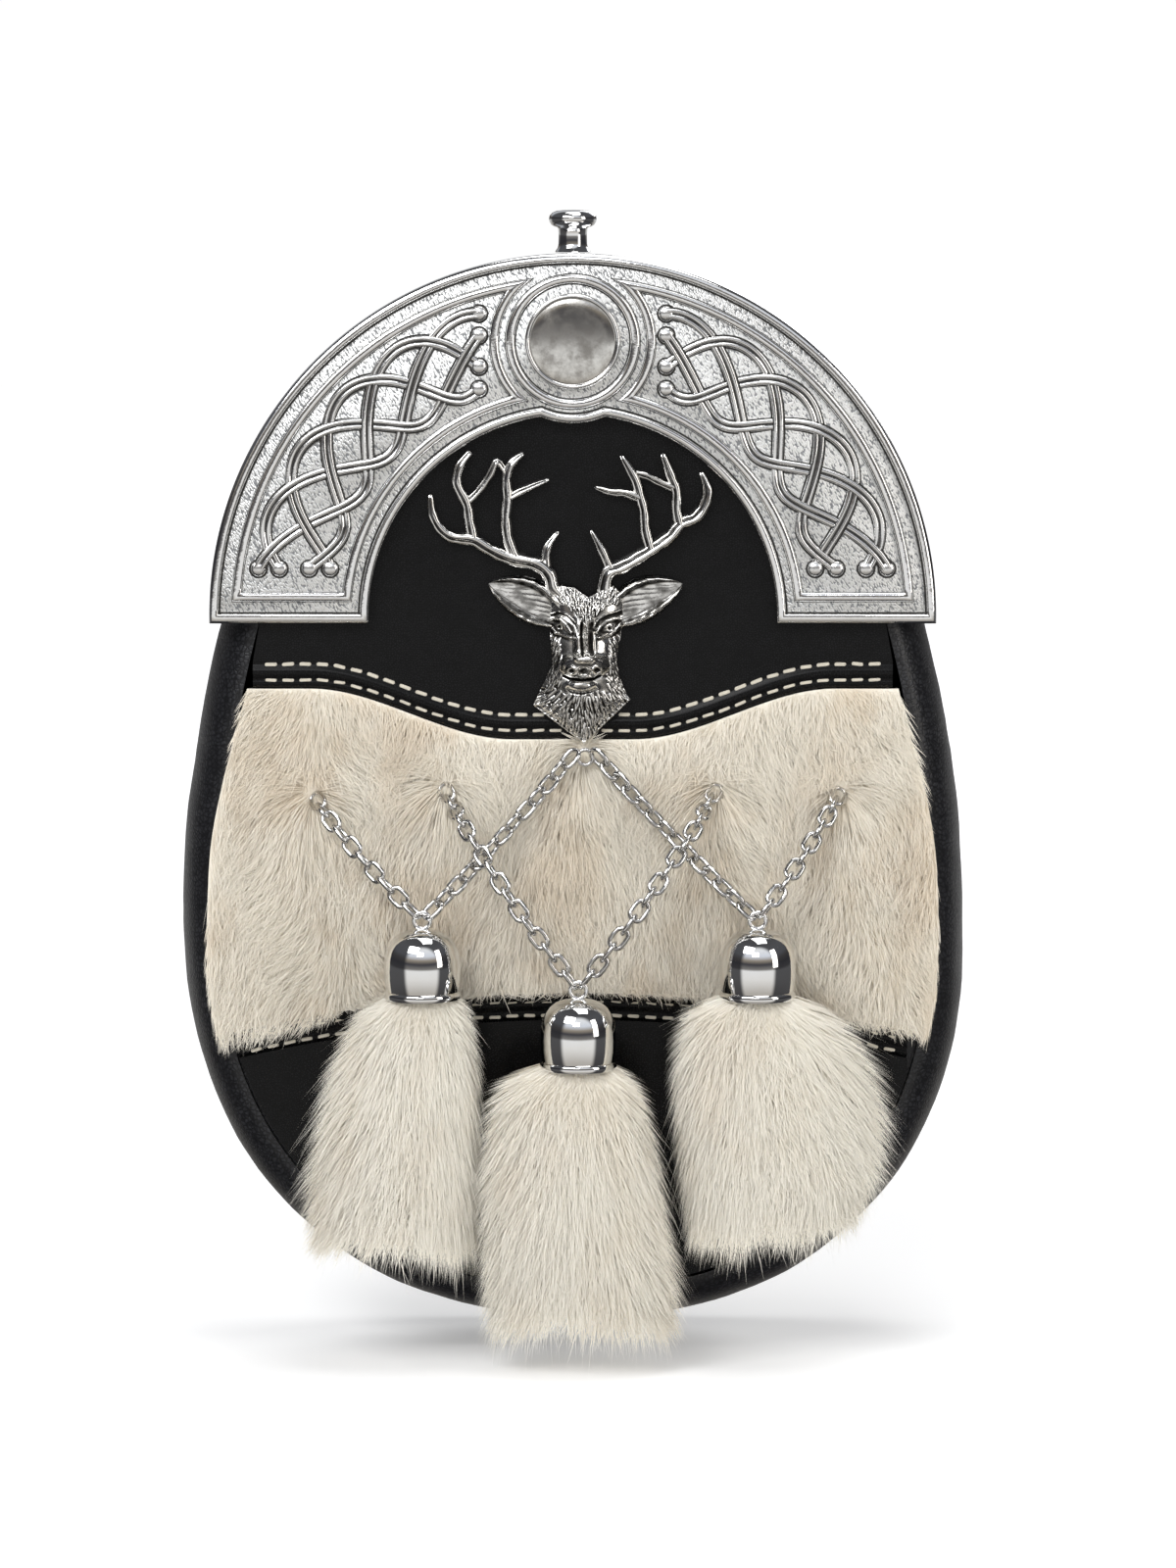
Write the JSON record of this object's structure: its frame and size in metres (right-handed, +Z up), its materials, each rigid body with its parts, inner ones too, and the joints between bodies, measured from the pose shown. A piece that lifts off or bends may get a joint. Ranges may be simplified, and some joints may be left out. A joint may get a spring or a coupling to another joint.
{
  "type": "sporran pouch",
  "caption": "Full dress sporran: leather pouch with a cast cantle, a stag badge, a fur front and fur tassels on chains.",
  "frame": {"origin": "on the outer face of the back panel, half way between the two belt loops", "axes": "+Z up, -Y to the front, +X to the viewer's right"},
  "size_m": [0.167, 0.0769, 0.2404],
  "materials": {
    "grained_leather": "fine grain, semi-gloss black",
    "glazed_leather": "smooth glazed black",
    "antiqued_cast": "antiqued cast metal with polished edges",
    "bright_plate": "bright plated",
    "cream_fur": "cream fur with tan patches",
    "tassel_fur": "off-white fur",
    "thread": "waxed cream thread"
  },
  "bodies": {
    "root": {"gusset": "grained_leather", "front_panel": "grained_leather", "back_panel": "grained_leather", "back_flap": "grained_leather", "belt_loop_left": "grained_leather", "belt_loop_right": "grained_leather", "front_flap": "glazed_leather", "flap_welt": "glazed_leather", "lower_welt": "glazed_leather", "lower_panel": "glazed_leather", "cantle": "antiqued_cast", "stag_badge": "antiqued_cast", "knob": "bright_plate", "press_stud": "bright_plate", "tassel_cap_left": "bright_plate", "tassel_cap_middle": "bright_plate", "tassel_cap_right": "bright_plate", "chain_left_outer": "bright_plate", "chain_left_inner": "bright_plate", "chain_middle_left": "bright_plate", "chain_middle_right": "bright_plate", "chain_right_inner": "bright_plate", "chain_right_outer": "bright_plate", "fur_panel": "cream_fur", "tassel_left": "tassel_fur", "tassel_middle": "tassel_fur", "tassel_right": "tassel_fur"}
  },
  "joints": []
}
